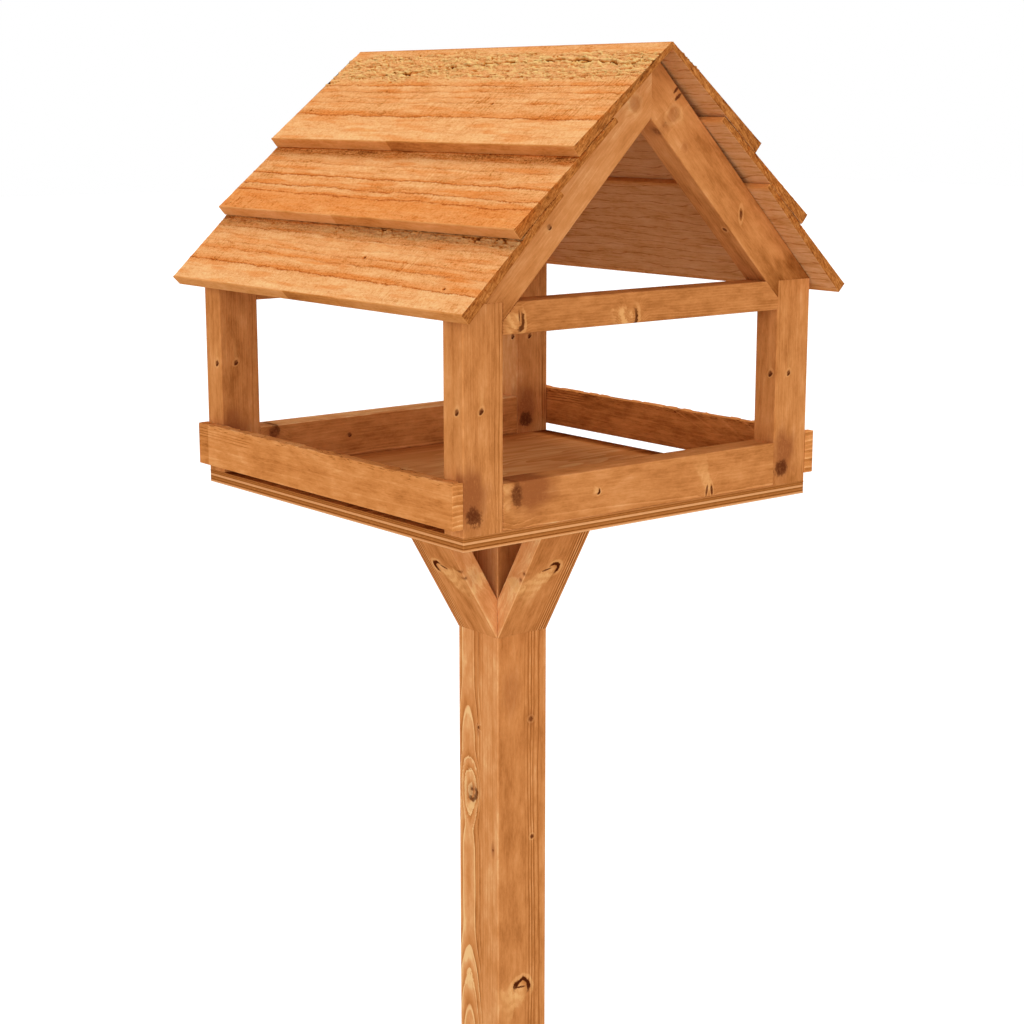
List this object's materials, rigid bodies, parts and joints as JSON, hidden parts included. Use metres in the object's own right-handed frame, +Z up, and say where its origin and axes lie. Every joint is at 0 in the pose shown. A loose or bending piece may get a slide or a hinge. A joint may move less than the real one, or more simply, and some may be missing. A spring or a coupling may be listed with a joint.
{
  "type": "bird table",
  "caption": "Free-standing wooden bird table: cross foot, braced square pole, open tray with low rails, corner posts and a gabled roof of lapped boards.",
  "frame": {"origin": "on the floor under the middle of the pole", "axes": "+Z up along the pole; the front gable faces -Y and the ridge runs along Y; +X is the right-hand eave seen from the front"},
  "size_m": [0.6, 0.6, 1.6513],
  "materials": {
    "planed_timber": "planed softwood with a warm brown stain",
    "shaded_timber": "planed softwood with a darker brown stain",
    "rough_board": "rough-sawn feather-edge board, light orange-brown",
    "plywood": "exterior plywood with its plies open at the edge"
  },
  "bodies": {
    "root": {"foot_long": "planed_timber", "foot_cross": "planed_timber", "foot_brace_left": "planed_timber", "foot_brace_right": "planed_timber", "foot_brace_front": "planed_timber", "foot_brace_back": "planed_timber", "pole": "planed_timber", "head_brace_left": "planed_timber", "head_brace_right": "planed_timber", "head_brace_front": "planed_timber", "head_brace_back": "planed_timber", "platform": "plywood", "post_front_left": "planed_timber", "post_front_right": "planed_timber", "post_back_left": "planed_timber", "post_back_right": "planed_timber", "rail_front": "planed_timber", "rail_back": "planed_timber", "rail_left": "planed_timber", "rail_right": "planed_timber", "tie_beam_front": "shaded_timber", "tie_beam_back": "shaded_timber", "rafter_front_left": "planed_timber", "rafter_front_right": "planed_timber", "rafter_back_left": "planed_timber", "rafter_back_right": "planed_timber", "roof_board_left_lower": "rough_board", "roof_board_left_middle": "rough_board", "roof_board_left_upper": "rough_board", "roof_board_right_lower": "rough_board", "roof_board_right_middle": "rough_board", "roof_board_right_upper": "rough_board"}
  },
  "joints": []
}
